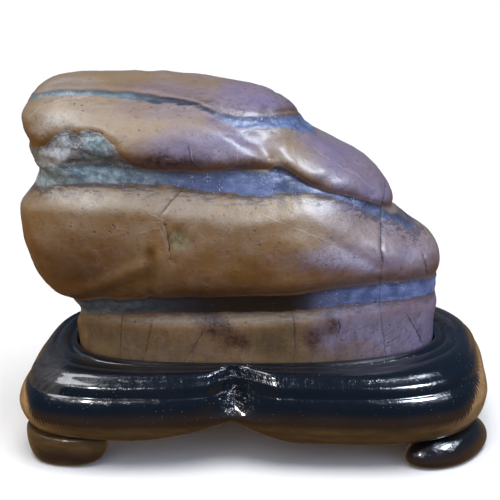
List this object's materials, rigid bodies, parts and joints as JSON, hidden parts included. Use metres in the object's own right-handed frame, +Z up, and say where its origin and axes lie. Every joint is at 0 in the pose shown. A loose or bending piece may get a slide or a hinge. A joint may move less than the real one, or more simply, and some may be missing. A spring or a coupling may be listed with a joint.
{
  "type": "scholars rock on a carved stand",
  "caption": "Layered, water-worn ornamental stone with pillowy tiers and dark grooves, resting in the socket of a low lacquered hardwood stand with cushion feet.",
  "frame": {"origin": "middle of the footprint, on the surface that the feet stand on", "axes": "+X along the length of the stand towards its right end, +Y towards the back, +Z up"},
  "size_m": [0.2051, 0.1215, 0.1574],
  "materials": {
    "waxed_stone": "waxed, tan to lilac-brown with slate-blue seams",
    "lacquered_wood": "near-black gloss lacquer, brown on the underside and the feet"
  },
  "bodies": {
    "root": {"stone": "waxed_stone", "stand_body": "lacquered_wood", "foot_front_left": "lacquered_wood", "foot_front_right": "lacquered_wood", "foot_back_right": "lacquered_wood", "foot_back_left": "lacquered_wood"}
  },
  "joints": []
}
